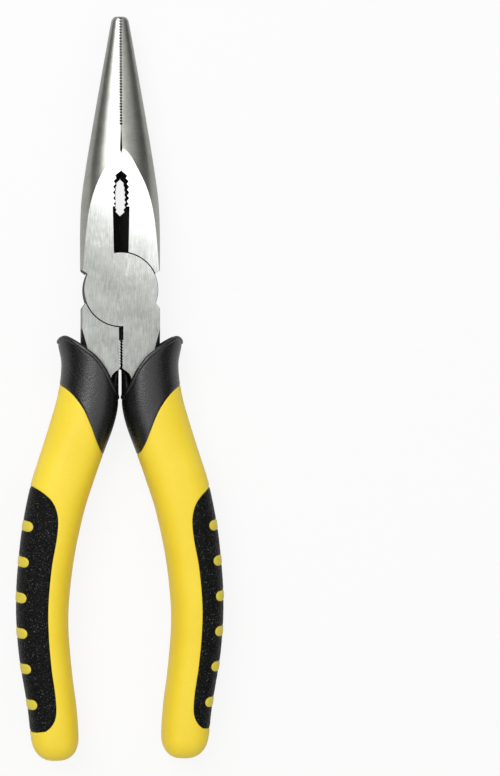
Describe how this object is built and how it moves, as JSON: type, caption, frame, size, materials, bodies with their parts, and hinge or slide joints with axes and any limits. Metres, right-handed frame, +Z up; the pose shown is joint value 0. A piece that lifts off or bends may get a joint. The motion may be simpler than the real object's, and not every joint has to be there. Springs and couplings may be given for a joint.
{
  "type": "long nose pliers",
  "caption": "Long nose combination pliers with toothed conical jaws, pipe grip, wire cutter, lap joint on a flush rivet and curved three-colour grips with thumb guards.",
  "frame": {"origin": "on the surface that the closed pliers rest on, under the middle of their length and width", "axes": "+Y along the closing line towards the tips, +X to the right, +Z up through the rivet towards the boss of the left jaw's half"},
  "size_m": [0.0562, 0.2, 0.018],
  "materials": {
    "forged_steel": "ground and brushed, black oxide in the recesses",
    "rivet_steel": "peened and ground flush",
    "black_core": "moulded, fine satin grain",
    "yellow_shell": "moulded, satin",
    "black_inlay": "soft, pebbled leather grain"
  },
  "bodies": {
    "left_jaw": {"left_jaw_half": "forged_steel", "pivot_rivet": "rivet_steel", "right_grip_core": "black_core", "right_grip_shell": "yellow_shell", "right_grip_inlay": "black_inlay"},
    "right_jaw": {"right_jaw_half": "forged_steel", "left_grip_core": "black_core", "left_grip_shell": "yellow_shell", "left_grip_inlay": "black_inlay"}
  },
  "joints": [
    {"name": "jaw_pivot", "type": "hinge", "parent": "left_jaw", "child": "right_jaw", "pos_m": [0, 0.0264, 0.009], "axis": [0, 0, -1], "range_deg": [0, 42]}
  ]
}
